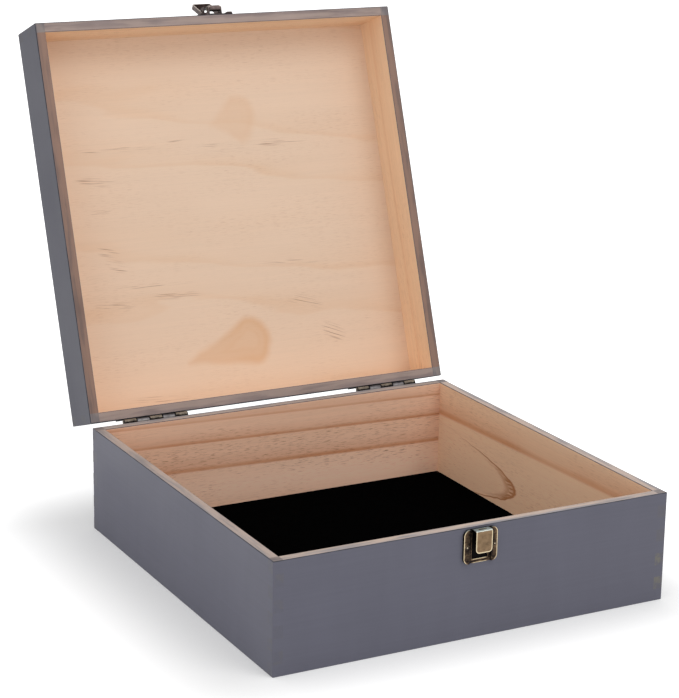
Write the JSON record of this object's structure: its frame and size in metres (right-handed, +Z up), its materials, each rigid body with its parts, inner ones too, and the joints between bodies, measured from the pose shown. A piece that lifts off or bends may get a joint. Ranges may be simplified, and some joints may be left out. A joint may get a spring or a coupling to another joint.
{
  "type": "keepsake box",
  "caption": "Square wooden keepsake box with finger-jointed walls, felt-lined floor, lid open on two back hinges, and a metal draw latch at the front.",
  "frame": {"origin": "middle of the base's underside", "axes": "+Z up, -Y the front with the latch, +X to the right seen from the front"},
  "size_m": [0.33, 0.4913, 0.4061],
  "materials": {
    "base_board": "pine with a satin blue-grey stain outside, bare inside, thin brownish-grey stain on the rims",
    "lid_board": "pine with a satin blue-grey stain outside, bare inside, thin brownish-grey stain on the rims",
    "panel": "rotary-cut plywood, bare inside, satin blue-grey stain outside",
    "felt": "black felt",
    "hinge_metal": "antique bronze plating, worn bright at its edges",
    "latch_metal": "antique bronze plating, worn bright at its edges",
    "nail_metal": "antique bronze plating",
    "pin_metal": "dull drawn wire"
  },
  "bodies": {
    "base": {"base_front_wall": "base_board", "base_back_wall": "base_board", "base_left_wall": "base_board", "base_right_wall": "base_board", "base_bottom_panel": "panel", "floor_lining": "felt", "hinge_left_base_leaf": "hinge_metal", "hinge_right_base_leaf": "hinge_metal", "hinge_left_pin": "pin_metal", "hinge_right_pin": "pin_metal", "hinge_base_nails": "nail_metal", "latch_strike": "latch_metal", "strike_nails": "nail_metal"},
    "lid": {"lid_front_wall": "lid_board", "lid_back_wall": "lid_board", "lid_left_wall": "lid_board", "lid_right_wall": "lid_board", "lid_top_panel": "panel", "hinge_left_lid_leaf": "hinge_metal", "hinge_right_lid_leaf": "hinge_metal", "hinge_lid_nails": "nail_metal", "latch_plate": "latch_metal", "latch_plate_nails": "nail_metal", "lever_pin": "pin_metal"},
    "lever": {"latch_lever": "latch_metal", "bail_pin": "pin_metal"},
    "bail": {"latch_bail": "latch_metal"}
  },
  "joints": [
    {"name": "lid_hinge", "type": "hinge", "parent": "base", "child": "lid", "pos_m": [0, 0.1676, 0.08615], "axis": [1, 0, 0], "range_deg": [0, 109.5]},
    {"name": "latch_lever_pivot", "type": "hinge", "parent": "lid", "child": "lever", "pos_m": [0, 0.2881, 0.40353], "axis": [1, 0, 0], "range_deg": [0, 158]},
    {"name": "latch_bail_pivot", "type": "hinge", "parent": "lever", "child": "bail", "pos_m": [0, 0.29543, 0.39754], "axis": [1, 0, 0], "range_deg": [0, 147]}
  ]
}
